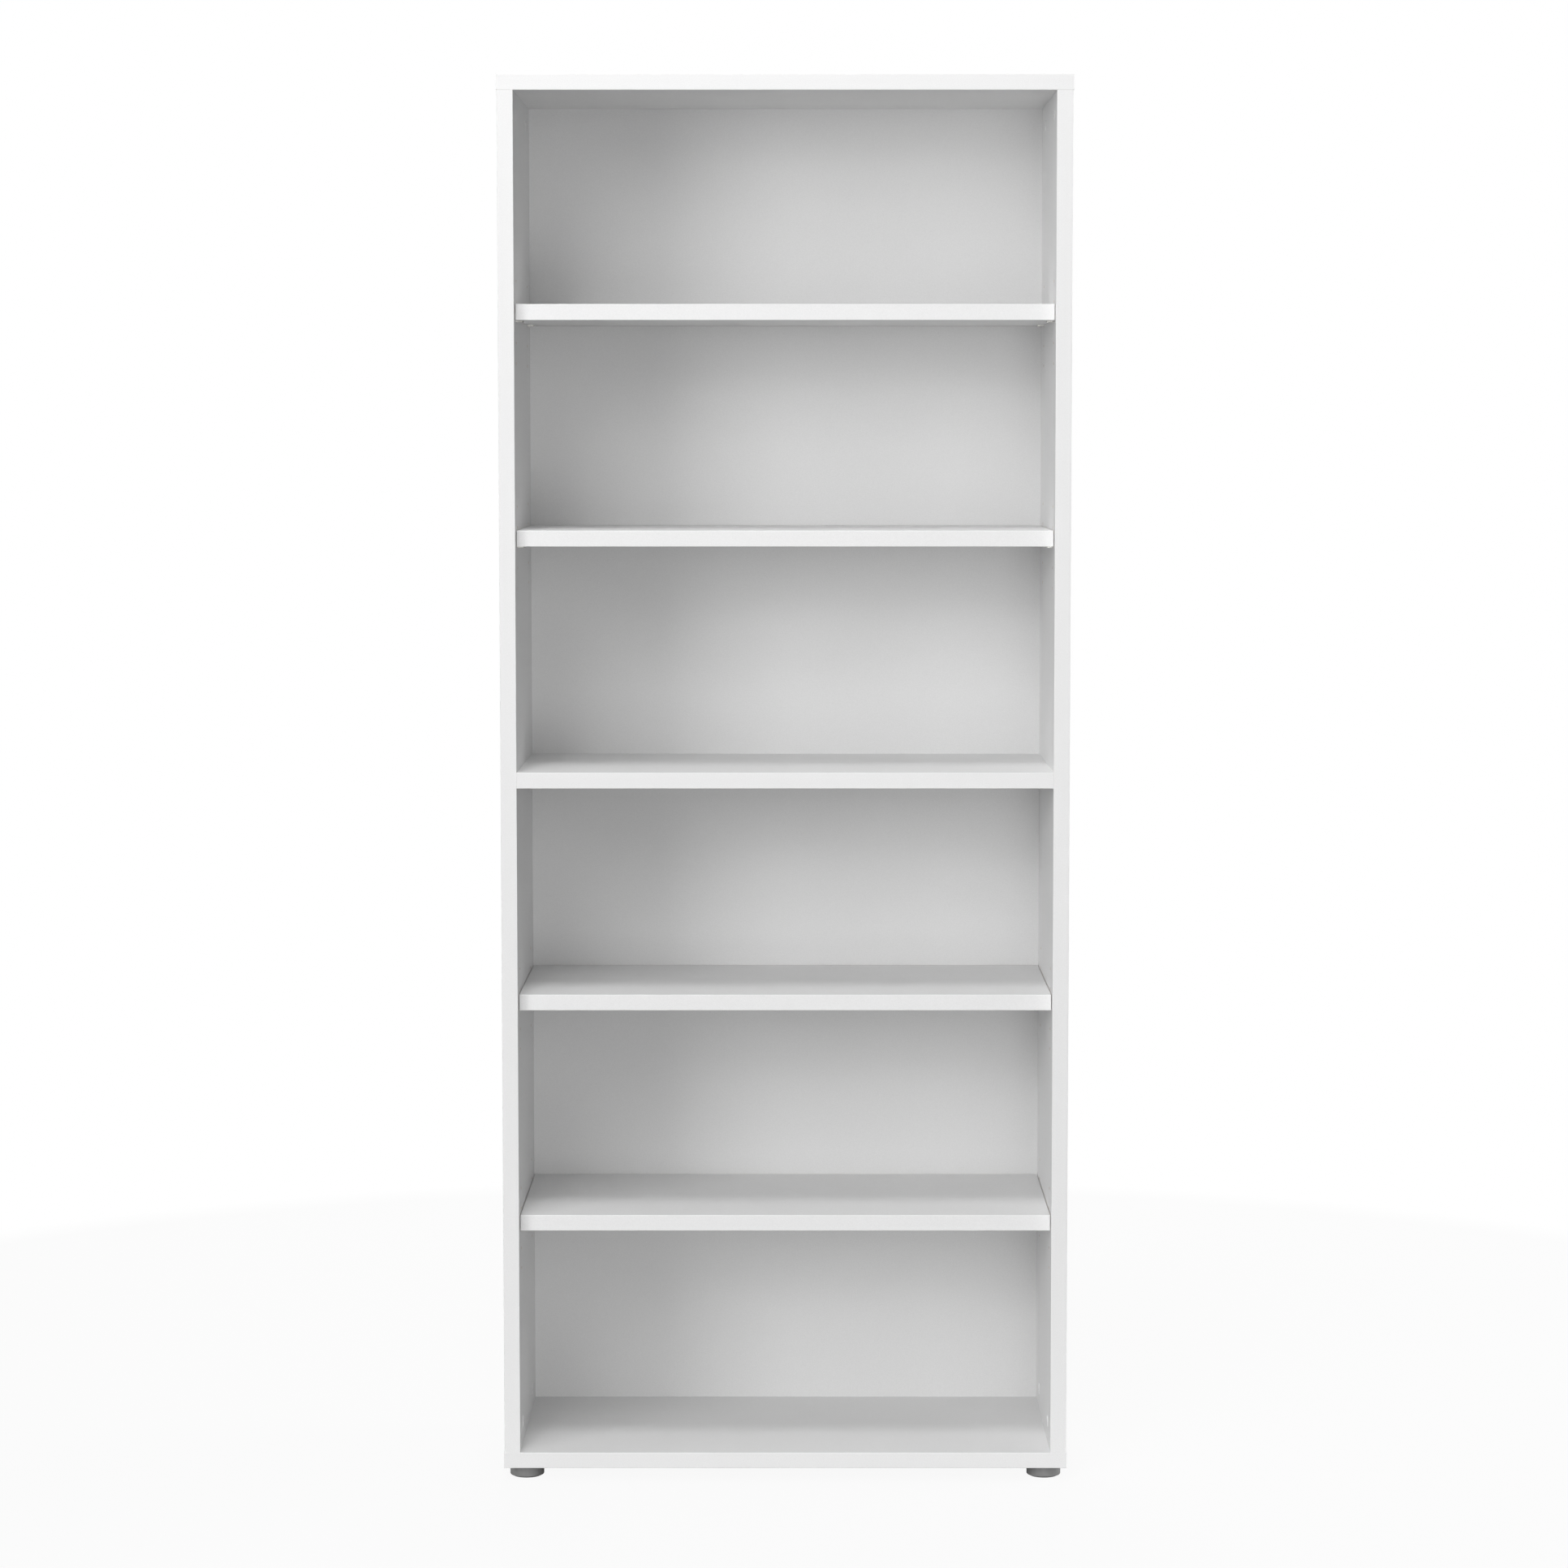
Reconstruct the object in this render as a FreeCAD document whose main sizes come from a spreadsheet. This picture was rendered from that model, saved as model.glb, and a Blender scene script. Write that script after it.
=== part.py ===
"""Bookcase: a melamine case on four screw feet, with one fixed shelf and four that rest on pins.

Frame, in millimetres: +Z is up, the front faces -Y, +X is to the right of someone facing the front.
The origin is on the floor, under the middle of the case.
"""
import FreeCAD, Part
import os
import Sketcher

V = FreeCAD.Vector
PARTS_FOLDER = "parts"
SMALLEST_CUT = 1.0  # mm3 that a pocket has to take away

DIMENSIONS = {
    # boards
    "case_width": 893,
    "case_depth": 400,
    "side_length": 2141,
    "board": 25,
    "overhang": 1,  # top and bottom panels beyond the side panels
    "foot_rise": 21,  # floor to bottom panel
    # edging
    "band": 1,
    "band_round": 0.8,
    # back
    "sheet": 3,
    "sheet_play": 0.1,  # between a sheet's front and its groove
    "sheet_short": 0.5,  # each edge of a sheet ends before the groove's floor
    "groove": 3.2,
    "groove_depth": 8,
    "groove_front": 385,  # front of the case to the groove
    # adjustable shelves
    "shelf_setback": 20,
    "shelf_side_gap": 1,
    "shelf_back_gap": 1,
    "inner_rise": 365.5,  # middle of the case to the underside of shelves 2 and 3
    "outer_rise": 717.5,  # the same for shelves 1 and 4
    # shelf pins and their holes
    "pin_hole": 5,
    "pin_hole_depth": 10,
    "hole_pitch": 32,
    "holes_in_group": 5,
    "front_column": 57,
    "rear_column": 320,
    "pin": 4.9,
    "pin_shank": 9,
    "pin_drop": 2.55,  # underside of the shelf to the middle of the shank
    "pin_chamfer": 0.5,
    "tongue_length": 12,
    "tongue_width": 9,
    "tongue": 2.4,
    "tongue_hole": 3.5,
    # cam fittings
    "fitting_front": 69,
    "fitting_rear": 298,
    "cam_reach": 34,  # end of the board to the cam's middle
    "cam_hole": 15,
    "cam_hole_depth": 17.5,
    "cam": 14.8,
    "cam_height": 17,
    "cam_socket": 8,
    "cam_socket_depth": 3,
    "cam_channel": 7.8,
    "cam_channel_past": 1.5,  # how far the channel goes past the cam's middle
    "cap": 18,
    "cap_height": 1,
    "cap_round": 0.6,
    "cap_plug": 7.6,
    "cap_plug_length": 2.5,
    "bolt_hole": 8,
    "bolt_shaft": 7,
    "bolt_shaft_length": 24,
    "bolt_neck": 4.6,
    "bolt_head_front": 31,
    "bolt_length": 34.5,
    "bolt_thread": 5,
    "bolt_thread_length": 11,
    "thread_hole": 5.1,
    "thread_hole_depth": 11.5,
    # dowels
    "dowel_front": 37,
    "dowel_rear": 330,
    "dowel": 8,
    "dowel_chamfer": 1,
    "dowel_hole": 8.1,
    "dowel_in_face": 12.5,
    "dowel_in_end": 22.5,
    "dowel_spare": 0.5,  # the hole is this much deeper than the dowel goes
    # feet
    "foot_inset": 34,  # end of the bottom panel to the foot's middle
    "foot_setback": 45,  # front or rear of the case to the foot's middle
    "disc": 54,
    "disc_round": 2,
    "disc_chamfer": 0.5,
    "disc_floor": 8,  # where the stem's hole begins
    "glide": 46,
    "glide_rise": 1.5,
    "glide_chamfer": 0.5,
    "spigot": 12,
    "spigot_top": 5.4,
    "socket": 12.16,
    "socket_top": 5.7,
    "stem": 8,
    "stem_chamfer": 1,
    "stem_hole": 8.1,
    "insert": 11.9,
    "insert_length": 20,
    "insert_hole": 12,
    "insert_hole_depth": 22,
}

# Places that several pieces share, as expressions on the sheet.
SIDE_MIDDLE = "(Dims.case_width / 2 - Dims.overhang - Dims.board / 2)"
SIDE_INNER = "(Dims.case_width / 2 - Dims.overhang - Dims.board)"
SIDE_OUTER = "(Dims.case_width / 2 - Dims.overhang)"
FRONT = "(-Dims.case_depth / 2)"
REAR = "(Dims.case_depth / 2)"
SIDE_BASE = "(Dims.foot_rise + Dims.board)"
SIDE_TOP = "(Dims.foot_rise + Dims.board + Dims.side_length)"
CASE_MIDDLE = "(Dims.foot_rise + Dims.board + Dims.side_length / 2)"
INNER_WIDTH = f"(2 * {SIDE_INNER})"
SHELF_WIDTH = f"({INNER_WIDTH} - 2 * Dims.shelf_side_gap)"
SHELF_DEPTH = "(Dims.groove_front - Dims.shelf_back_gap - Dims.shelf_setback)"
FITTINGS = {"front": "Dims.fitting_front", "rear": "Dims.fitting_rear"}
DOWELS = {"front": "Dims.dowel_front", "rear": "Dims.dowel_rear"}
COLUMNS = {"front": "Dims.front_column", "rear": "Dims.rear_column"}
SIDES = {"left": -1, "right": 1}
# Underside of each adjustable shelf, which is also the top of its pins, from the top one down.
SHELF_UNDERSIDES = {
    1: f"({CASE_MIDDLE} + Dims.outer_rise)",
    2: f"({CASE_MIDDLE} + Dims.inner_rise)",
    3: f"({CASE_MIDDLE} - Dims.inner_rise)",
    4: f"({CASE_MIDDLE} - Dims.outer_rise)",
}

UPRIGHT = FreeCAD.Rotation()
HALF_TURN = FreeCAD.Rotation(V(0, 0, 1), 180)

doc = FreeCAD.newDocument("bookcase")
nodes = []


def make_sheet():
    """The spreadsheet that every size is read from."""
    sheet = doc.addObject("Spreadsheet::Sheet", "Dims")
    for row, (alias, value) in enumerate(DIMENSIONS.items(), start=1):
        sheet.set(f"A{row}", alias)
        sheet.set(f"B{row}", str(value))
        sheet.setAlias(f"B{row}", alias)
    doc.recompute()


def turned_to(x_axis, z_axis):
    """The rotation that lays a piece's own X and Z axes along the two given directions."""
    x_axis = V(*x_axis)
    z_axis = V(*z_axis)
    return FreeCAD.Rotation(x_axis, z_axis.cross(x_axis), z_axis, "ZXY")


def place(piece, x, y, z, rotation=UPRIGHT):
    """Puts a piece at a point given by three expressions."""
    piece.Placement = FreeCAD.Placement(V(0, 0, 0), rotation)
    for axis, expression in zip("xyz", (x, y, z)):
        piece.setExpression(f"Placement.Base.{axis}", expression)


def keep(piece):
    """Makes a piece a node of its own, named by its label."""
    nodes.append(piece)
    return piece


def new_body(name):
    body = doc.addObject("PartDesign::Body", name)
    body.Label = name
    return body


def group(name, pieces):
    """Several alike pieces in one node, each still a solid of its own."""
    whole = doc.addObject("Part::Compound", name)
    whole.Label = name
    whole.Links = pieces
    return keep(whole)


# ---- sketches ----


def new_sketch(body, name, role, offset="0"):
    """A sketch on one of the body's origin planes, moved along that plane's normal."""
    sketch = body.newObject("Sketcher::SketchObject", f"{body.Name}_{name}")
    plane = [item for item in body.Origin.OriginFeatures if item.Role == role][0]
    sketch.AttachmentSupport = [(plane, "")]
    sketch.MapMode = "FlatFace"
    sketch.setExpression("AttachmentOffset.Base.z", offset)
    return sketch


def fix_point(sketch, line, end, across, up):
    """Holds one end of a line at a place given by two expressions."""
    for kind, expression in (("DistanceX", across), ("DistanceY", up)):
        number = sketch.addConstraint(Sketcher.Constraint(kind, -1, 1, line, end, 1))
        sketch.setExpression(f"Constraints[{number}]", expression)


def draw_outline(sketch, points):
    """A closed outline of straight lines through points given by expressions."""
    count = len(points)
    spread = [V(index + 1, (index * index) % 7, 0) for index in range(count)]
    for index in range(count):
        line = Part.LineSegment(spread[index], spread[(index + 1) % count])
        sketch.addGeometry(line, False)
    for index in range(count):
        following = (index + 1) % count
        sketch.addConstraint(Sketcher.Constraint("Coincident", index, 2, following, 1))
    for index, (across, up) in enumerate(points):
        fix_point(sketch, index, 1, across, up)


def draw_rectangle(sketch, low, high):
    draw_outline(sketch, [low, (high[0], low[1]), high, (low[0], high[1])])


def draw_circles(sketch, centres, diameter):
    """Circles of one diameter at centres given by expressions."""
    for index, (across, up) in enumerate(centres):
        circle = Part.Circle(V(10 * (index + 1), 5, 0), V(0, 0, 1), 2)
        number = sketch.addGeometry(circle, False)
        fix_point(sketch, number, 3, across, up)
        radius = sketch.addConstraint(Sketcher.Constraint("Radius", number, 2))
        sketch.setExpression(f"Constraints[{radius}]", f"{diameter} / 2")


# ---- features ----


def pad(body, sketch, length, backwards=False):
    feature = body.newObject("PartDesign::Pad", f"{sketch.Name}_pad")
    feature.Profile = sketch
    feature.Reversed = backwards
    feature.setExpression("Length", length)
    sketch.Visibility = False
    doc.recompute()
    return feature


def pocket(body, sketch, depth, forwards=False):
    """Cuts against the sketch's normal, or along it, and makes sure that something is cut."""
    before = body.Shape.Volume
    feature = body.newObject("PartDesign::Pocket", f"{sketch.Name}_pocket")
    feature.Profile = sketch
    feature.Reversed = forwards
    feature.setExpression("Length", depth)
    doc.recompute()
    if before - body.Shape.Volume < SMALLEST_CUT:
        raise RuntimeError(f"{feature.Name} cuts nothing")
    return feature


def drill(body, name, role, offset, centres, diameter, depth, forwards=False):
    sketch = new_sketch(body, name, role, offset)
    draw_circles(sketch, centres, diameter)
    return pocket(body, sketch, depth, forwards)


def revolve(body, points):
    """Turns a half outline of (radius, height) expressions about the body's Z axis."""
    sketch = new_sketch(body, "profile", "XZ_Plane")
    draw_outline(sketch, points)
    feature = body.newObject("PartDesign::Revolution", f"{body.Name}_turned")
    feature.Profile = sketch
    feature.ReferenceAxis = (sketch, ["V_Axis"])
    feature.Angle = 360
    doc.recompute()
    return feature


def soften(body, kind, wanted, size):
    """Rounds (Fillet) or bevels (Chamfer) the edges that wanted() picks."""
    base = body.Tip
    edges = [f"Edge{n}" for n, edge in enumerate(base.Shape.Edges, start=1) if wanted(edge)]
    feature = body.newObject(f"PartDesign::{kind}", f"{body.Name}_{kind.lower()}")
    feature.Base = (base, edges)
    feature.setExpression("Radius" if kind == "Fillet" else "Size", size)
    doc.recompute()
    return feature


def is_rim(height, radius):
    """Picks the circular edge at a height and radius, in the body's own frame."""

    def wanted(edge):
        box = edge.BoundBox
        flat = box.ZLength < 1e-6 and abs(box.ZMin - height) < 1e-6
        return flat and abs(box.XLength / 2 - radius) < 1e-6

    return wanted


# ---- boards ----


def new_board(name, low, high):
    """A board's core from a corner to the opposite one, Dims.board thick."""
    body = new_body(name)
    sketch = new_sketch(body, "outline", "XY_Plane")
    draw_rectangle(sketch, low, high)
    pad(body, sketch, "Dims.board")
    return keep(body)


def groove(body, name, offset, low_end, high_end, start, forwards):
    """A back sheet's groove along a board, from one end to the other, start in from the front."""
    sketch = new_sketch(body, name, "XY_Plane", offset)
    draw_rectangle(sketch, (low_end, start), (high_end, f"{start} + Dims.groove"))
    pocket(body, sketch, "Dims.groove_depth", forwards)


def drill_face(body, places, across, offset, forwards):
    """Thread holes for cam bolts and holes for dowels in a board's face, in lines at across."""
    bolts = [(x, places(y)) for x in across for y in FITTINGS.values()]
    dowels = [(x, places(y)) for x in across for y in DOWELS.values()]
    deep = "Dims.dowel_in_face + Dims.dowel_spare"
    drill(body, "threads", "XY_Plane", offset, bolts, "Dims.thread_hole",
          "Dims.thread_hole_depth", forwards)
    drill(body, "dowels", "XY_Plane", offset, dowels, "Dims.dowel_hole", deep, forwards)


def drill_ends(body, places, length):
    """Bolt and dowel holes in both ends of a board that lies along its own X axis."""
    bolts = [(places(y), "Dims.board / 2") for y in FITTINGS.values()]
    dowels = [(places(y), "Dims.board / 2") for y in DOWELS.values()]
    deep = "Dims.dowel_in_end + Dims.dowel_spare"
    bolt_deep = "Dims.cam_reach + Dims.cam_channel_past"
    for end, offset, forwards in (("low", "0", True), ("high", length, False)):
        drill(body, f"bolts_{end}", "YZ_Plane", offset, bolts, "Dims.bolt_hole", bolt_deep, forwards)
        drill(body, f"dowels_{end}", "YZ_Plane", offset, dowels, "Dims.dowel_hole", deep, forwards)


def drill_cams(body, places, length):
    """Cam holes in the face at z = 0, near both ends."""
    across = ("Dims.cam_reach", f"{length} - Dims.cam_reach")
    cams = [(x, places(y)) for x in across for y in FITTINGS.values()]
    drill(body, "cams", "XY_Plane", "0", cams, "Dims.cam_hole", "Dims.cam_hole_depth", True)


def from_front(expression):
    return expression


def from_rear(expression):
    """The same place on a board whose own Y axis starts at the rear."""
    return f"(Dims.case_depth - {expression})"


def drill_pin_holes(body, places):
    """Four groups of pin holes in two columns, each group drilled upwards from its lowest hole."""
    middle = "Dims.side_length / 2"
    down = "(Dims.holes_in_group - 1) / 2 * Dims.hole_pitch - Dims.pin_drop"
    rises = ["Dims.outer_rise", "Dims.inner_rise", "-Dims.inner_rise", "-Dims.outer_rise"]
    lowest = [(f"{middle} + {rise} - {down}", places(y)) for rise in rises for y in COLUMNS.values()]
    first = drill(body, "pins", "XY_Plane", "0", lowest, "Dims.pin_hole", "Dims.pin_hole_depth", True)
    before = body.Shape.Volume
    rows = body.newObject("PartDesign::LinearPattern", f"{body.Name}_rows")
    rows.Originals = [first]
    rows.Direction = (first.Profile[0], ["H_Axis"])
    rows.setExpression("Length", "(Dims.holes_in_group - 1) * Dims.hole_pitch")
    rows.setExpression("Occurrences", "Dims.holes_in_group")
    body.Tip = rows
    doc.recompute()
    if before - body.Shape.Volume < SMALLEST_CUT:
        raise RuntimeError(f"{rows.Name} cuts nothing")


def make_side(name, hand):
    """A side panel. Its own X axis runs up, and z = 0 is its inner face."""
    if hand < 0:
        places, low_edge, high_edge = from_front, "Dims.band", "Dims.case_depth"
        groove_start = "Dims.groove_front"
    else:
        places, low_edge, high_edge = from_rear, "0", "Dims.case_depth - Dims.band"
        groove_start = from_rear("Dims.groove_front - Dims.groove")
    board = new_board(name, ("0", low_edge), ("Dims.side_length", high_edge))
    groove(board, "groove", "0", "0", "Dims.side_length", groove_start, True)
    drill_pin_holes(board, places)
    drill_face(board, places, ["Dims.side_length / 2"], "0", True)
    drill_ends(board, places, "Dims.side_length")
    drill_cams(board, places, "Dims.side_length")
    place(board, f"{hand} * {SIDE_INNER}", FRONT if hand < 0 else REAR, SIDE_BASE,
          turned_to((0, 0, 1), (hand, 0, 0)))


def make_cover_panel(name, height, inner_face, forwards):
    """The top or bottom panel, with everything cut into its inner face."""
    board = new_board(name, ("Dims.band", "Dims.band"), ("Dims.case_width - Dims.band", "Dims.case_depth"))
    lines = ["Dims.overhang + Dims.board / 2", "Dims.case_width - Dims.overhang - Dims.board / 2"]
    drill_face(board, from_front, lines, inner_face, forwards)
    inside = "Dims.overhang + Dims.board - Dims.groove_depth"
    groove(board, "groove", inner_face, inside, f"Dims.case_width - ({inside})",
           "Dims.groove_front", forwards)
    place(board, "-Dims.case_width / 2", FRONT, height)
    return board


def make_middle_shelf():
    """The fixed shelf, which holds the edges of both back sheets."""
    board = new_board("middle_shelf", ("0", "Dims.band"), (INNER_WIDTH, "Dims.case_depth"))
    groove(board, "lower_groove", "0", "0", INNER_WIDTH, "Dims.groove_front", True)
    groove(board, "upper_groove", "Dims.board", "0", INNER_WIDTH, "Dims.groove_front", False)
    drill_ends(board, from_front, INNER_WIDTH)
    drill_cams(board, from_front, INNER_WIDTH)
    place(board, f"-{SIDE_INNER}", FRONT, f"{CASE_MIDDLE} - Dims.board / 2")


def make_adjustable_shelf(number):
    name = f"adjustable_shelf_{number}"
    board = new_board(name, ("0", "Dims.band"), (SHELF_WIDTH, SHELF_DEPTH))
    front = f"{FRONT} + Dims.shelf_setback"
    underside = SHELF_UNDERSIDES[number]
    place(board, f"-{SHELF_WIDTH} / 2", front, underside)
    strip = new_strip(f"{name}_edging", SHELF_WIDTH)
    place(keep(strip), f"-{SHELF_WIDTH} / 2", front, underside)


def make_back_sheet(name, base, top):
    """A thin sheet that stands in the grooves between two boards."""
    sheet = doc.addObject("Part::Box", name)
    sheet.Label = name
    reach = "(Dims.groove_depth - Dims.sheet_short)"
    sheet.setExpression("Length", f"{INNER_WIDTH} + 2 * {reach}")
    sheet.setExpression("Width", "Dims.sheet")
    sheet.setExpression("Height", f"{top} - {base} + 2 * {reach}")
    place(sheet, f"-{SIDE_INNER} - {reach}", f"{FRONT} + Dims.groove_front + Dims.sheet_play",
          f"{base} - {reach}")
    keep(sheet)


# ---- edging ----


def new_strip(name, length):
    """Edging along its own X axis: its show face is y = 0, with both long edges rounded."""
    body = new_body(name)
    sketch = new_sketch(body, "section", "YZ_Plane")
    draw_rectangle(sketch, ("0", "0"), ("Dims.band", "Dims.board"))
    pad(body, sketch, length)

    def show_edge(edge):
        box = edge.BoundBox
        return box.XLength > 1 and box.YMax < 1e-6

    soften(body, "Fillet", show_edge, "Dims.band_round")
    return body


def make_cover_edging(name, height):
    """Edging of the top or bottom panel: one strip on the front, which covers one on each end."""
    front = new_strip(f"{name}_front", "Dims.case_width")
    place(front, "-Dims.case_width / 2", FRONT, height)
    left = new_strip(f"{name}_left", "Dims.case_depth - Dims.band")
    place(left, "-Dims.case_width / 2", REAR, height, turned_to((0, -1, 0), (0, 0, 1)))
    right = new_strip(f"{name}_right", "Dims.case_depth - Dims.band")
    place(right, "Dims.case_width / 2", f"{FRONT} + Dims.band", height,
          turned_to((0, 1, 0), (0, 0, 1)))
    group(name, [front, left, right])


def make_case_edging():
    make_cover_edging("top_panel_edging", SIDE_TOP)
    make_cover_edging("bottom_panel_edging", "Dims.foot_rise")
    standing = turned_to((0, 0, 1), (-1, 0, 0))
    for name, start in (("left", f"-{SIDE_INNER}"), ("right", SIDE_OUTER)):
        strip = keep(new_strip(f"{name}_side_edging", "Dims.side_length"))
        place(strip, start, FRONT, SIDE_BASE, standing)
    strip = keep(new_strip("middle_shelf_edging", INNER_WIDTH))
    place(strip, f"-{SIDE_INNER}", FRONT, f"{CASE_MIDDLE} - Dims.board / 2")


# ---- shelf pins ----


def new_pin(name):
    """A pin whose shank goes into the hole along -X. Its tongue carries the shelf at z = 0."""
    body = new_body(name)
    shank = new_sketch(body, "shank", "YZ_Plane")
    draw_circles(shank, [("0", "-Dims.pin_drop")], "Dims.pin")
    pad(body, shank, "Dims.pin_shank", backwards=True)

    def tip(edge):
        return edge.BoundBox.XMax < -DIMENSIONS["pin_shank"] + 1e-6

    soften(body, "Chamfer", tip, "Dims.pin_chamfer")
    tongue = new_sketch(body, "tongue", "XY_Plane")
    draw_rectangle(tongue, ("0", "-Dims.tongue_width / 2"), ("Dims.tongue_length", "Dims.tongue_width / 2"))
    pad(body, tongue, "Dims.tongue", backwards=True)

    def corner(edge):
        box = edge.BoundBox
        return box.ZLength > 1 and box.XMin > DIMENSIONS["tongue_length"] - 1e-6

    soften(body, "Fillet", corner, "Dims.tongue_width / 2 - 0.5")
    drill(body, "eye", "XY_Plane", "0", [("Dims.tongue_length / 2", "0")], "Dims.tongue_hole",
          "Dims.tongue")
    return keep(body)


def make_pins():
    for number, height in SHELF_UNDERSIDES.items():
        for side, hand in SIDES.items():
            for column, setback in COLUMNS.items():
                pin = new_pin(f"shelf_{number}_pin_{side}_{column}")
                rotation = UPRIGHT if hand < 0 else HALF_TURN
                place(pin, f"{hand} * {SIDE_INNER}", f"{FRONT} + {setback}", height, rotation)


# ---- cam fittings and dowels ----


def new_cam(name):
    """A cam whose top is z = 0. Its bolt comes in along -X, half a board down."""
    body = new_body(name)
    sketch = new_sketch(body, "round", "XY_Plane")
    draw_circles(sketch, [("0", "0")], "Dims.cam")
    pad(body, sketch, "Dims.cam_height", backwards=True)
    drill(body, "socket", "XY_Plane", "0", [("0", "0")], "Dims.cam_socket", "Dims.cam_socket_depth")
    drill(body, "channel", "YZ_Plane", "-Dims.cam_channel_past", [("0", "-Dims.board / 2")],
          "Dims.cam_channel", "Dims.cam", forwards=True)
    return body


def new_cap(name):
    """A round cover cap that stands on z = 0, with a plug that goes into the cam."""
    body = new_body(name)
    revolve(body, [
        ("0", "-Dims.cap_plug_length"),
        ("Dims.cap_plug / 2", "-Dims.cap_plug_length"),
        ("Dims.cap_plug / 2", "0"),
        ("Dims.cap / 2", "0"),
        ("Dims.cap / 2", "Dims.cap_height"),
        ("0", "Dims.cap_height"),
    ])
    rim = is_rim(DIMENSIONS["cap_height"], DIMENSIONS["cap"] / 2)
    soften(body, "Fillet", rim, "Dims.cap_round")
    return body


def new_bolt(name):
    """A cam bolt: threaded below z = 0, with its head in the cam above."""
    body = new_body(name)
    revolve(body, [
        ("0", "-Dims.bolt_thread_length"),
        ("Dims.bolt_thread / 2", "-Dims.bolt_thread_length"),
        ("Dims.bolt_thread / 2", "0"),
        ("Dims.bolt_shaft / 2", "0"),
        ("Dims.bolt_shaft / 2", "Dims.bolt_shaft_length"),
        ("Dims.bolt_neck / 2", "Dims.bolt_shaft_length"),
        ("Dims.bolt_neck / 2", "Dims.bolt_head_front"),
        ("Dims.bolt_shaft / 2", "Dims.bolt_head_front"),
        ("Dims.bolt_shaft / 2", "Dims.bolt_length"),
        ("0", "Dims.bolt_length"),
    ])
    return body


def new_dowel(name):
    """A dowel across z = 0, with its longer part above."""
    body = new_body(name)
    revolve(body, [
        ("0", "-Dims.dowel_in_face"),
        ("Dims.dowel / 2", "-Dims.dowel_in_face"),
        ("Dims.dowel / 2", "Dims.dowel_in_end"),
        ("0", "Dims.dowel_in_end"),
    ])

    def rims(edge):
        return edge.BoundBox.ZLength < 1e-6

    soften(body, "Chamfer", rims, "Dims.dowel_chamfer")
    return body


def board_joints():
    """Every joint between boards: its name, its middle as x and z, the way into the board whose end
    meets there, and the way that this board's cams face."""
    for side, hand in SIDES.items():
        edge = f"{hand} * {SIDE_MIDDLE}"
        yield f"bottom_{side}", edge, SIDE_BASE, V(0, 0, 1), V(-hand, 0, 0)
        yield f"top_{side}", edge, SIDE_TOP, V(0, 0, -1), V(-hand, 0, 0)
        yield f"middle_{side}", f"{hand} * {SIDE_INNER}", CASE_MIDDLE, V(-hand, 0, 0), V(0, 0, -1)


def moved(start, along, reach, out, rise):
    """An expression for start plus reach along one direction and rise along another."""
    return f"{start} + {along:g} * {reach} + {out:g} * {rise}"


def make_fittings():
    cams, caps, bolts, dowels = [], [], [], []
    for name, x, z, into, face in board_joints():
        upright = turned_to(face, into)
        for row, setback in FITTINGS.items():
            y = f"{FRONT} + {setback}"
            cam_x = moved(x, into.x, "Dims.cam_reach", face.x, "Dims.board / 2")
            cam_z = moved(z, into.z, "Dims.cam_reach", face.z, "Dims.board / 2")
            cams.append(new_cam(f"cam_{name}_{row}"))
            caps.append(new_cap(f"cap_{name}_{row}"))
            for piece in (cams[-1], caps[-1]):
                place(piece, cam_x, y, cam_z, turned_to(-into, face))
            bolts.append(new_bolt(f"bolt_{name}_{row}"))
            place(bolts[-1], x, y, z, upright)
        for row, setback in DOWELS.items():
            dowels.append(new_dowel(f"dowel_{name}_{row}"))
            place(dowels[-1], x, f"{FRONT} + {setback}", z, upright)
    group("cam_locks", cams)
    group("cover_caps", caps)
    group("cam_bolts", bolts)
    group("dowels", dowels)


# ---- feet ----


def new_disc(name):
    """The grip disc of a foot, open below for the glide's spigot and above for the stem."""
    body = new_body(name)
    revolve(body, [
        ("0", "Dims.socket_top"),
        ("Dims.socket / 2", "Dims.socket_top"),
        ("Dims.socket / 2", "Dims.glide_rise"),
        ("Dims.disc / 2", "Dims.glide_rise"),
        ("Dims.disc / 2", "Dims.foot_rise"),
        ("Dims.stem_hole / 2", "Dims.foot_rise"),
        ("Dims.stem_hole / 2", "Dims.disc_floor"),
        ("0", "Dims.disc_floor"),
    ])
    radius = DIMENSIONS["disc"] / 2
    soften(body, "Fillet", is_rim(DIMENSIONS["glide_rise"], radius), "Dims.disc_round")
    soften(body, "Chamfer", is_rim(DIMENSIONS["foot_rise"], radius), "Dims.disc_chamfer")
    return keep(body)


def new_glide(name):
    """The sole of a foot, which stays still on the floor while the disc turns."""
    body = new_body(name)
    revolve(body, [
        ("0", "0"),
        ("Dims.glide / 2", "0"),
        ("Dims.glide / 2", "Dims.glide_rise"),
        ("Dims.spigot / 2", "Dims.glide_rise"),
        ("Dims.spigot / 2", "Dims.spigot_top"),
        ("0", "Dims.spigot_top"),
    ])
    soften(body, "Chamfer", is_rim(0, DIMENSIONS["glide"] / 2), "Dims.glide_chamfer")
    return keep(body)


def new_stem(name):
    """The threaded stem, drawn at its outer diameter, from the disc to the insert's top."""
    body = new_body(name)
    top = "Dims.foot_rise + Dims.insert_length"
    revolve(body, [
        ("0", "Dims.disc_floor"),
        ("Dims.stem / 2", "Dims.disc_floor"),
        ("Dims.stem / 2", top),
        ("0", top),
    ])
    height = DIMENSIONS["foot_rise"] + DIMENSIONS["insert_length"]
    soften(body, "Chamfer", is_rim(height, DIMENSIONS["stem"] / 2), "Dims.stem_chamfer")
    return keep(body)


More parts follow.
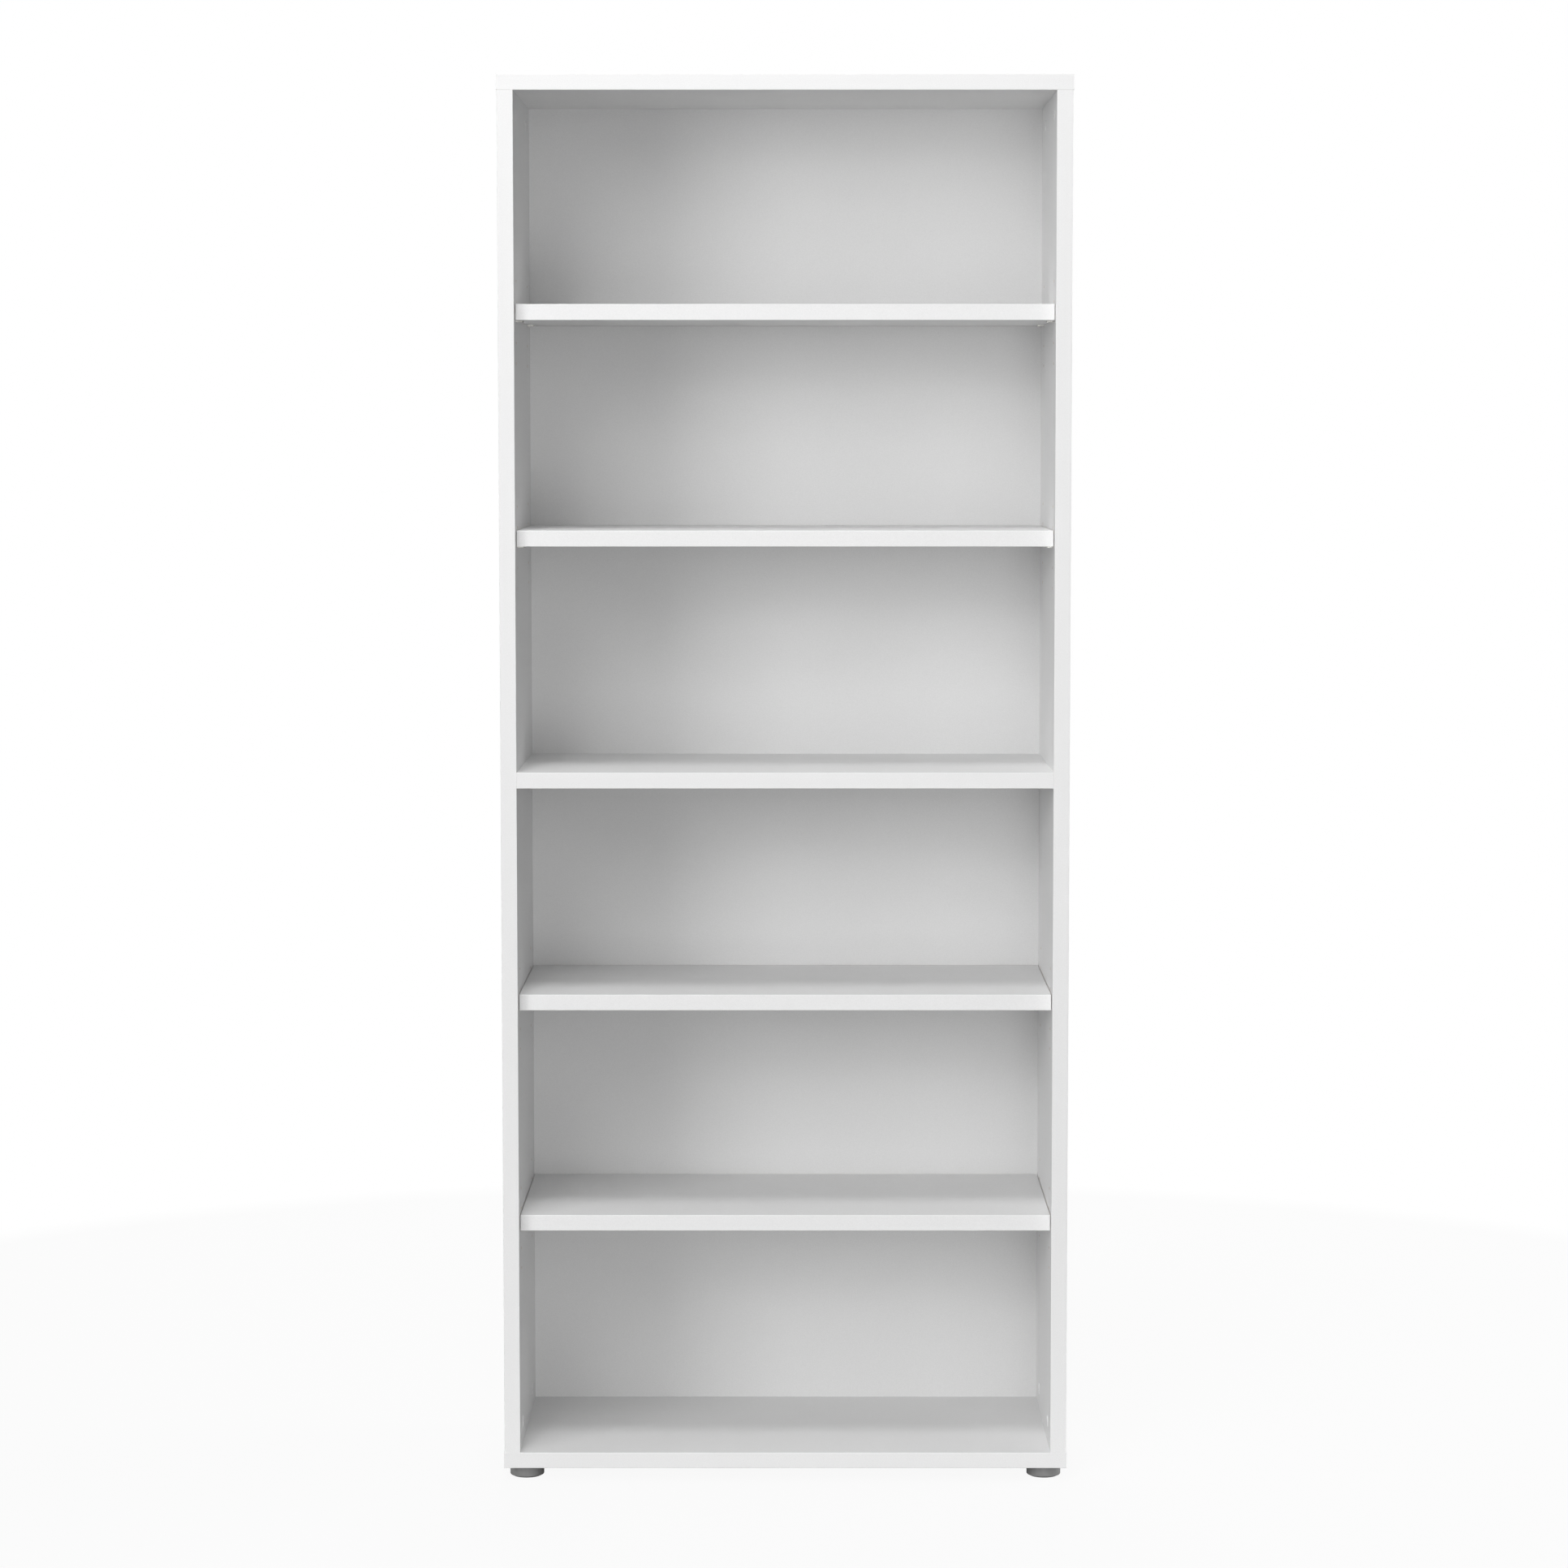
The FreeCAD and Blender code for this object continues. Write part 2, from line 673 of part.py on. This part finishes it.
def new_insert(name):
    """The threaded sleeve in the bottom panel, drawn plain with a running fit on the stem."""
    body = new_body(name)
    top = "Dims.foot_rise + Dims.insert_length"
    revolve(body, [
        ("Dims.stem_hole / 2", "Dims.foot_rise"),
        ("Dims.insert / 2", "Dims.foot_rise"),
        ("Dims.insert / 2", top),
        ("Dims.stem_hole / 2", top),
    ])
    return body


def foot_places():
    """The four corners: name, and the middle of the foot as x and y."""
    for row, way in (("front", -1), ("rear", 1)):
        for side, hand in SIDES.items():
            x = f"{hand} * (Dims.case_width / 2 - Dims.foot_inset)"
            yield f"{row}_{side}", x, f"{way} * (Dims.case_depth / 2 - Dims.foot_setback)"


def make_feet():
    inserts = []
    for name, x, y in foot_places():
        inserts.append(new_insert(f"insert_{name}"))
        pieces = [inserts[-1], new_disc(f"foot_{name}_disc"), new_glide(f"foot_{name}_glide"),
                  new_stem(f"foot_{name}_stem")]
        for piece in pieces:
            place(piece, x, y, "0")
    group("foot_inserts", inserts)


def drill_insert_holes(board):
    """Holes for the feet's inserts in the bottom panel's underside."""
    across = ("Dims.foot_inset", "Dims.case_width - Dims.foot_inset")
    along = ("Dims.foot_setback", "Dims.case_depth - Dims.foot_setback")
    drill(board, "inserts", "XY_Plane", "0", [(x, y) for x in across for y in along],
          "Dims.insert_hole", "Dims.insert_hole_depth", True)


def make_case():
    make_cover_panel("top_panel", SIDE_TOP, "0", True)
    bottom = make_cover_panel("bottom_panel", "Dims.foot_rise", "Dims.board", False)
    drill_insert_holes(bottom)
    for side, hand in SIDES.items():
        make_side(f"{side}_side_panel", hand)
    make_middle_shelf()
    shelf_top = f"({CASE_MIDDLE} + Dims.board / 2)"
    shelf_underside = f"({CASE_MIDDLE} - Dims.board / 2)"
    make_back_sheet("upper_back_panel", shelf_top, SIDE_TOP)
    make_back_sheet("lower_back_panel", SIDE_BASE, shelf_underside)


def check_document():
    for item in doc.Objects:
        if {"Invalid", "Error"} & set(item.State):
            raise RuntimeError(f"{item.Name} is {item.State}")
    for piece in nodes:
        if piece.Shape.isNull() or not piece.Shape.isValid():
            raise RuntimeError(f"{piece.Label} has no valid shape")


def main():
    make_sheet()
    make_case()
    make_case_edging()
    for number in SHELF_UNDERSIDES:
        make_adjustable_shelf(number)
    make_pins()
    make_fittings()
    make_feet()
    doc.recompute()
    check_document()
    os.makedirs(PARTS_FOLDER, exist_ok=True)
    for piece in nodes:
        piece.Shape.exportStep(os.path.join(PARTS_FOLDER, f"{piece.Label}.step"))
    print(f"{len(nodes)} nodes written")


main()
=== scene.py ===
"""Looks for the bookcase with adjustable shelves. All places are metres in the CAD frame:
+Z up, the open front faces -Y, and the origin is on the floor under the middle of the case."""
import math

import bmesh
import bpy
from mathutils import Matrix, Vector


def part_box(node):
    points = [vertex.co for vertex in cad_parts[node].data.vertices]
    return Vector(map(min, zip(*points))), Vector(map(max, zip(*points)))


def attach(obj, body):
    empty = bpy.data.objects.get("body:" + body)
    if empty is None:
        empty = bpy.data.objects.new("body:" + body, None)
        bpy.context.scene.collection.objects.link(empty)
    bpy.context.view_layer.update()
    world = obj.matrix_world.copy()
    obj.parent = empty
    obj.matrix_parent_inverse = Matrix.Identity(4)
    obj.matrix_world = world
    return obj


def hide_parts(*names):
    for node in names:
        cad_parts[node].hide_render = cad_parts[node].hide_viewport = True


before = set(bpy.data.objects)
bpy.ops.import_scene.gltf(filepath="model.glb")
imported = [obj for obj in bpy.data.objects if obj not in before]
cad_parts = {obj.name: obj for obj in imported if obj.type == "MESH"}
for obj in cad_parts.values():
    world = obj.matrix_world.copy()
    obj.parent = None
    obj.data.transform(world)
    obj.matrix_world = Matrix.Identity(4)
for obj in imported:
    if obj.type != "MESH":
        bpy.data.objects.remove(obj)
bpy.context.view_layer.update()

# Camera: eye height and tilt of someone who stands in front of the case.
CAMERA_PLACE = Vector((0.0188, -6.7022, 1.6639))
CAMERA_TILT = math.radians(4.857)
CAMERA_LENS = 95.681
CAMERA_SHIFT_X = -0.00836

# Soft square lamps, aimed at the middle of the case. The front left one and the two steep ones
# give most of the light on the front. The last three light the side, the rear and the top.
WORLD_STRENGTH = 0.12
LAMP_AIM = Vector((0.0, 0.0, 1.1))
LAMPS = {  # degrees to the right of the front, metres away, height, width, watts
    "front_left": (-40, 7.5, 2.4, 2.4, 158),
    "high_front": (-20, 7.0, 4.5, 2.4, 84),
    "front_right": (15, 7.5, 2.4, 2.4, 42),
    "low_front": (5, 4.6, 0.6, 1.4, 30),
    "steep_front": (-10, 3.6, 4.6, 1.4, 33),
    "steepest": (-10, 2.6, 6.5, 1.4, 119),
    "right": (100, 5.0, 2.6, 2.4, 150),
    "rear": (180, 5.0, 3.0, 2.4, 180),
    "overhead": (0, 0.0, 6.0, 3.0, 50),
}

# Floor
FLOOR_RADIUS = 14.0
FLOOR_FADE = (0.5, 2.5)  # distances from the case over which the floor fades into plain white
FLOOR_GLOW = 0.93  # share of plain white near the case; the rest takes light and shadow
FLOOR_WHITE = 0.45  # share of light that it throws back, which lifts the lower edges of the case

X_AXIS, Y_AXIS, Z_AXIS = 0, 1, 2

# Threads of the foot stems
STEM_PITCH = 0.00125
STEM_THREAD_DEPTH = 0.00065
STEM_CHAMFER = 0.001
STEPS_AROUND = 24
RINGS_PER_TURN = 8


# ---- materials ----


class Recipe:
    """A material under construction, with short ways to add nodes."""

    def __init__(self, name):
        self.material = bpy.data.materials.new(name)
        self.material.use_nodes = True
        self.tree = self.material.node_tree
        self.shader = self.tree.nodes["Principled BSDF"]
        self.coordinates = self.add("ShaderNodeTexCoord")

    def add(self, kind, **settings):
        node = self.tree.nodes.new(kind)
        for key, value in settings.items():
            setattr(node, key, value)
        return node

    def join(self, source, target):
        """Links an output to an input, or sets the input if the source is a plain value."""
        if isinstance(source, bpy.types.NodeSocket):
            self.tree.links.new(source, target)
        else:
            target.default_value = source

    def stretched(self, scale):
        """Object coordinates scaled along each axis."""
        mapping = self.add("ShaderNodeMapping")
        self.join(self.coordinates.outputs["Object"], mapping.inputs["Vector"])
        mapping.inputs["Scale"].default_value = scale
        return mapping.outputs["Vector"]

    def noise(self, scale, detail=2.0, roughness=0.5, vector=None):
        node = self.add("ShaderNodeTexNoise")
        self.join(vector or self.coordinates.outputs["Object"], node.inputs["Vector"])
        node.inputs["Scale"].default_value = scale
        node.inputs["Detail"].default_value = detail
        node.inputs["Roughness"].default_value = roughness
        return node.outputs["Fac"]

    def cells(self, scale, feature="F1"):
        node = self.add("ShaderNodeTexVoronoi", feature=feature)
        self.join(self.coordinates.outputs["Object"], node.inputs["Vector"])
        node.inputs["Scale"].default_value = scale
        return node

    def spread(self, source, low, high, to_low, to_high):
        """Maps a value from one range to another, with its ends clamped."""
        node = self.add("ShaderNodeMapRange")
        self.join(source, node.inputs["Value"])
        for key, value in (("From Min", low), ("From Max", high), ("To Min", to_low), ("To Max", to_high)):
            self.join(value, node.inputs[key])
        return node.outputs["Result"]

    def maths(self, operation, first, second=0.0):
        node = self.add("ShaderNodeMath", operation=operation)
        self.join(first, node.inputs[0])
        self.join(second, node.inputs[1])
        return node.outputs["Value"]

    def mix(self, factor, first, second):
        """A colour between two colours."""
        node = self.add("ShaderNodeMix", data_type="RGBA")
        self.join(factor, node.inputs["Factor"])
        self.join(first, node.inputs["A"])
        self.join(second, node.inputs["B"])
        return node.outputs["Result"]

    def mix_values(self, factor, first, second):
        node = self.add("ShaderNodeMix", data_type="FLOAT")
        self.join(factor, node.inputs[0])
        self.join(first, node.inputs[2])
        self.join(second, node.inputs[3])
        return node.outputs[0]

    def normal_part(self, axis):
        """How much the surface at rest faces one axis, from -1 to 1."""
        split = self.add("ShaderNodeSeparateXYZ")
        self.join(self.coordinates.outputs["Normal"], split.inputs["Vector"])
        return split.outputs[axis]

    def bump(self, height, distance, strength=1.0):
        node = self.add("ShaderNodeBump")
        self.join(height, node.inputs["Height"])
        node.inputs["Distance"].default_value = distance
        node.inputs["Strength"].default_value = strength
        self.join(node.outputs["Normal"], self.shader.inputs["Normal"])

    def surface(self, **values):
        """Sets or links the shader's own sockets, named with underscores for spaces."""
        for key, value in values.items():
            self.join(value, self.shader.inputs[key.replace("_", " ")])
        return self.material


def grey(value):
    return (value, value, value, 1.0)


def grained_white(recipe, low, high, grain_size=520):
    """White with a cloudy tone between two values and a fine, even grain over it."""
    cloud = recipe.spread(recipe.noise(2.3, detail=3.0), 0.35, 0.65, 0.0, 1.0)
    white = recipe.mix(cloud, grey(low), grey(high))
    grain = recipe.spread(recipe.noise(grain_size, detail=2.0, roughness=0.6), 0.30, 0.70, 0.30, 0.0)
    return recipe.mix(grain, white, grey(low * 0.86))


def chipboard(recipe):
    """Colour and height of cut chipboard: pale chips with darker gaps between them."""
    chips = recipe.cells(330)
    gaps = recipe.cells(330, feature="DISTANCE_TO_EDGE")
    tone = recipe.add("ShaderNodeSeparateColor")
    recipe.join(chips.outputs["Color"], tone.inputs["Color"])
    wood = recipe.mix(tone.outputs[0], (0.52, 0.36, 0.20, 1.0), (0.78, 0.61, 0.40, 1.0))
    gap = recipe.spread(gaps.outputs["Distance"], 0.0, 0.10, 0.0, 1.0)
    colour = recipe.mix(gap, (0.26, 0.16, 0.08, 1.0), wood)
    return colour, gap


def melamine(name, axis):
    """White melamine on the two faces across the given axis, and bare chipboard where it is cut."""
    recipe = Recipe(name)
    pearl = recipe.noise(620, detail=3.0, roughness=0.6)
    dots = recipe.noise(190, detail=1.0)
    rubbed = recipe.noise(7.0, detail=5.0, roughness=0.7, vector=recipe.stretched((1.0, 1.0, 0.35)))
    white = grained_white(recipe, 0.81, 0.83)
    speck = recipe.spread(dots, 0.70, 0.76, 0.0, 0.5)
    white = recipe.mix(speck, white, grey(0.74))
    facing = recipe.maths("ABSOLUTE", recipe.normal_part(axis))
    laminate = recipe.maths("GREATER_THAN", facing, 0.7)
    core, core_height = chipboard(recipe)
    smooth = recipe.spread(rubbed, 0.30, 0.75, 0.40, 0.56)
    recipe.bump(recipe.mix_values(laminate, core_height, recipe.maths("MULTIPLY", pearl, 0.16)), 0.0003)
    return recipe.surface(
        Base_Color=recipe.mix(laminate, core, white),
        Roughness=recipe.mix_values(laminate, 0.85, smooth),
    )


def edging(name, along):
    """Satin plastic strip with faint milling lines along its length and small duller patches."""
    recipe = Recipe(name)
    scale = [900.0, 900.0, 900.0]
    scale[along] = 6.0
    lines = recipe.noise(1.0, detail=2.0, vector=recipe.stretched(scale))
    knocks = recipe.noise(38.0, detail=4.0, roughness=0.65)
    white = grained_white(recipe, 0.90, 0.915)
    white = recipe.mix(recipe.spread(knocks, 0.70, 0.80, 0.0, 0.35), white, grey(0.82))
    satin = recipe.spread(recipe.noise(60.0, detail=3.0), 0.3, 0.7, 0.34, 0.46)
    recipe.bump(lines, 0.00002)
    return recipe.surface(Base_Color=white, Roughness=satin)


def back_board():
    """Thin fibreboard: white lacquer in front, bare brown fibre with a pressed weave behind."""
    recipe = Recipe("white_back_board")
    rear = recipe.maths("GREATER_THAN", recipe.normal_part(Y_AXIS), 0.5)
    white = grained_white(recipe, 0.81, 0.828)
    fibres = recipe.noise(1.0, detail=4.0, roughness=0.7, vector=recipe.stretched((60.0, 60.0, 420.0)))
    flecks = recipe.noise(160, detail=3.0, roughness=0.7)
    brown = recipe.mix(fibres, (0.30, 0.19, 0.10, 1.0), (0.47, 0.33, 0.20, 1.0))
    brown = recipe.mix(recipe.spread(flecks, 0.60, 0.72, 0.0, 0.6), brown, (0.20, 0.12, 0.06, 1.0))
    grain = recipe.noise(500, detail=2.0)
    fine = recipe.maths("MULTIPLY", grain, 0.10)
    recipe.bump(recipe.mix_values(rear, fine, recipe.maths("ADD", flecks, fibres)), 0.00025)
    smooth = recipe.spread(recipe.noise(9.0, detail=4.0), 0.3, 0.7, 0.42, 0.54)
    return recipe.surface(
        Base_Color=recipe.mix(rear, white, brown),
        Roughness=recipe.mix_values(rear, smooth, 0.8),
    )


def moulded(name, low, high, roughness, grain=900.0, depth=0.00006):
    """Moulded plastic: fine spark-eroded grain, slight cloudiness and rubbed patches."""
    recipe = Recipe(name)
    cloud = recipe.noise(30.0, detail=4.0)
    skin = recipe.noise(grain, detail=2.0)
    colour = recipe.mix(recipe.spread(cloud, 0.3, 0.7, 0.0, 1.0), grey(low), grey(high))
    rough = recipe.spread(recipe.noise(110.0, detail=4.0, roughness=0.65), 0.3, 0.75,
                          roughness - 0.06, roughness + 0.08)
    recipe.bump(skin, depth)
    return recipe.surface(Base_Color=colour, Roughness=rough)


def plated(name, low, high, roughness, along=X_AXIS):
    """Plated steel with fine drawing lines and a mottled coat."""
    recipe = Recipe(name)
    scale = [2600.0, 2600.0, 2600.0]
    scale[along] = 120.0
    lines = recipe.noise(1.0, detail=3.0, vector=recipe.stretched(scale))
    mottle = recipe.noise(260.0, detail=3.0)
    colour = recipe.mix(recipe.spread(mottle, 0.3, 0.7, 0.0, 1.0), low, high)
    rough = recipe.spread(lines, 0.25, 0.75, roughness - 0.08, roughness + 0.10)
    recipe.bump(lines, 0.00001)
    return recipe.surface(Base_Color=colour, Metallic=1.0, Roughness=rough)


def beech():
    """Turned beech with grain along the dowel and short dark flecks."""
    recipe = Recipe("beech_dowel")
    grain = recipe.noise(1.0, detail=5.0, roughness=0.6, vector=recipe.stretched((900.0, 900.0, 60.0)))
    flecks = recipe.noise(700.0, detail=2.0)
    colour = recipe.mix(grain, (0.50, 0.32, 0.17, 1.0), (0.80, 0.62, 0.41, 1.0))
    colour = recipe.mix(recipe.spread(flecks, 0.66, 0.74, 0.0, 0.6), colour, (0.36, 0.20, 0.10, 1.0))
    recipe.bump(grain, 0.0001)
    return recipe.surface(Base_Color=colour, Roughness=recipe.spread(grain, 0.2, 0.8, 0.75, 0.55))


def floor_white():
    """Plain pale floor that fades into the white surroundings. Its glow is seen but lights nothing."""
    recipe = Recipe("pale_floor")
    distance = recipe.add("ShaderNodeVectorMath", operation="LENGTH")
    recipe.join(recipe.coordinates.outputs["Object"], distance.inputs[0])
    fade = recipe.spread(distance.outputs["Value"], *FLOOR_FADE, 0.0, 1.0)
    seen = recipe.add("ShaderNodeLightPath").outputs["Is Camera Ray"]
    fade = recipe.maths("MAXIMUM", fade, recipe.maths("MULTIPLY", seen, FLOOR_GLOW))
    paper = recipe.noise(40.0, detail=3.0)
    colour = recipe.mix(paper, grey(FLOOR_WHITE - 0.01), grey(FLOOR_WHITE + 0.01))
    recipe.surface(Base_Color=colour, Roughness=0.9)
    glow = recipe.add("ShaderNodeEmission")
    recipe.join(seen, glow.inputs["Strength"])
    blend = recipe.add("ShaderNodeMixShader")
    output = recipe.tree.nodes["Material Output"]
    recipe.join(fade, blend.inputs[0])
    recipe.join(recipe.shader.outputs[0], blend.inputs[1])
    recipe.join(glow.outputs[0], blend.inputs[2])
    recipe.join(blend.outputs[0], output.inputs["Surface"])
    return recipe.material


def dress(node, material):
    """Gives a CAD node one material all over."""
    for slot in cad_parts[node].material_slots:
        slot.material = material


def dress_cad():
    lying = melamine("white_melamine_lying", Z_AXIS)
    standing = melamine("white_melamine_standing", X_AXIS)
    strip_across = edging("white_edging_across", X_AXIS)
    strip_up = edging("white_edging_up", Z_AXIS)
    back = back_board()
    steel = plated("nickel_plated_steel", (0.58, 0.57, 0.54, 1), (0.72, 0.71, 0.68, 1), 0.30)
    zinc = plated("zinc_plated_steel", (0.55, 0.57, 0.60, 1), (0.70, 0.72, 0.75, 1), 0.34, Z_AXIS)
    cast = plated("die_cast_zinc", (0.40, 0.41, 0.42, 1), (0.55, 0.56, 0.57, 1), 0.48)
    cap = moulded("white_cap_plastic", 0.86, 0.89, 0.30, grain=1400.0, depth=0.00001)
    disc = moulded("grey_foot_plastic", 0.29, 0.33, 0.42)
    glide = moulded("dark_glide_plastic", 0.09, 0.12, 0.55)
    named = {
        "left_side_panel": standing, "right_side_panel": standing,
        "left_side_edging": strip_up, "right_side_edging": strip_up,
        "upper_back_panel": back, "lower_back_panel": back,
        "cam_locks": cast, "cover_caps": cap, "cam_bolts": zinc, "dowels": beech(), "foot_inserts": zinc,
    }
    endings = {"_panel": lying, "_shelf": lying, "_edging": strip_across, "_disc": disc, "_glide": glide,
               "_stem": zinc}
    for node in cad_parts:
        if node in named:
            dress(node, named[node])
        elif "_pin_" in node:
            dress(node, steel)
        elif node.startswith("adjustable_shelf_") and node[-1].isdigit():
            dress(node, lying)
        else:
            dress(node, next(m for ending, m in endings.items() if node.endswith(ending)))
    return zinc


# ---- pieces made here ----


def mesh_object(name, build, material):
    """A new object from a function that fills a bmesh."""
    mesh = bpy.data.meshes.new(name)
    shape = bmesh.new()
    build(shape)
    bmesh.ops.recalc_face_normals(shape, faces=shape.faces)
    shape.to_mesh(mesh)
    shape.free()
    mesh.materials.append(material)
    thing = bpy.data.objects.new(name, mesh)
    bpy.context.collection.objects.link(thing)
    return thing


def threaded_rod(centre, radius, low, high):
    """A function that fills a bmesh with a right-hand threaded rod, closed at both ends."""
    rings = int(round((high - low) / STEM_PITCH * RINGS_PER_TURN)) + 1

    def ring_radius(height, angle):
        turn = (height / STEM_PITCH - angle / (2 * math.pi)) % 1.0
        tooth = abs(2 * turn - 1)
        from_end = min(height - low, high - height)
        taper = max(0.0, STEM_CHAMFER - from_end)
        return radius - max(STEM_THREAD_DEPTH * tooth, taper)

    def build(shape):
        circles = []
        for ring in range(rings):
            height = low + (high - low) * ring / (rings - 1)
            circle = []
            for step in range(STEPS_AROUND):
                angle = 2 * math.pi * step / STEPS_AROUND
                reach = ring_radius(height, angle)
                at = (centre.x + reach * math.cos(angle), centre.y + reach * math.sin(angle), height)
                circle.append(shape.verts.new(at))
            circles.append(circle)
        for lower, upper in zip(circles, circles[1:]):
            for step in range(STEPS_AROUND):
                following = (step + 1) % STEPS_AROUND
                shape.faces.new((lower[step], lower[following], upper[following], upper[step]))
        shape.faces.new(circles[0])
        shape.faces.new(circles[-1])

    return build


def make_stems(steel):
    """Threaded stems in place of the plain CAD ones."""
    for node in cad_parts:
        if not node.endswith("_stem"):
            continue
        low, high = (Vector(corner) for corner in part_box(node))
        centre = (low + high) / 2
        radius = (high.x - low.x) / 2
        build = threaded_rod(centre, radius, low.z, high.z)
        stem = mesh_object(f"{node}_thread", build, steel)
        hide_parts(node)
        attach(stem, node.replace("_stem", "_disc"))


# ---- stage ----


def make_floor():
    mesh = bpy.data.meshes.new("floor")
    shape = bmesh.new()
    bmesh.ops.create_circle(shape, cap_ends=True, segments=96, radius=FLOOR_RADIUS)
    shape.to_mesh(mesh)
    shape.free()
    mesh.materials.append(floor_white())
    floor = bpy.data.objects.new("floor", mesh)
    bpy.context.collection.objects.link(floor)


def make_world():
    """Even soft light from all round, and plain white behind everything."""
    world = bpy.data.worlds.new("studio")
    bpy.context.scene.world = world
    world.use_nodes = True
    nodes, links = world.node_tree.nodes, world.node_tree.links
    background = nodes["Background"]
    background.inputs["Color"].default_value = (1.0, 1.0, 1.0, 1.0)
    seen = nodes.new("ShaderNodeLightPath")
    strength = nodes.new("ShaderNodeMix")
    strength.data_type = "FLOAT"
    strength.inputs[2].default_value = WORLD_STRENGTH
    strength.inputs[3].default_value = 1.0
    links.new(seen.outputs["Is Camera Ray"], strength.inputs[0])
    links.new(strength.outputs[0], background.inputs["Strength"])


def make_lamps():
    for name, (turn, away, height, width, watts) in LAMPS.items():
        light = bpy.data.lights.new(name, "AREA")
        light.shape = "SQUARE"
        light.size = width
        light.energy = watts
        lamp = bpy.data.objects.new(name, light)
        angle = math.radians(turn)
        lamp.location = (away * math.sin(angle), -away * math.cos(angle), height)
        lamp.rotation_euler = (LAMP_AIM - lamp.location).to_track_quat("-Z", "Y").to_euler()
        bpy.context.collection.objects.link(lamp)


def make_camera():
    data = bpy.data.cameras.new("camera")
    data.lens = CAMERA_LENS
    data.shift_x = CAMERA_SHIFT_X
    data.clip_end = 60.0
    camera = bpy.data.objects.new("camera", data)
    camera.location = CAMERA_PLACE
    camera.rotation_euler = (math.pi / 2 - CAMERA_TILT, 0.0, 0.0)
    bpy.context.collection.objects.link(camera)
    bpy.context.scene.camera = camera


def main():
    zinc = dress_cad()
    make_stems(zinc)
    make_floor()
    make_world()
    make_lamps()
    make_camera()
    bpy.context.scene.view_settings.view_transform = "Standard"


main()
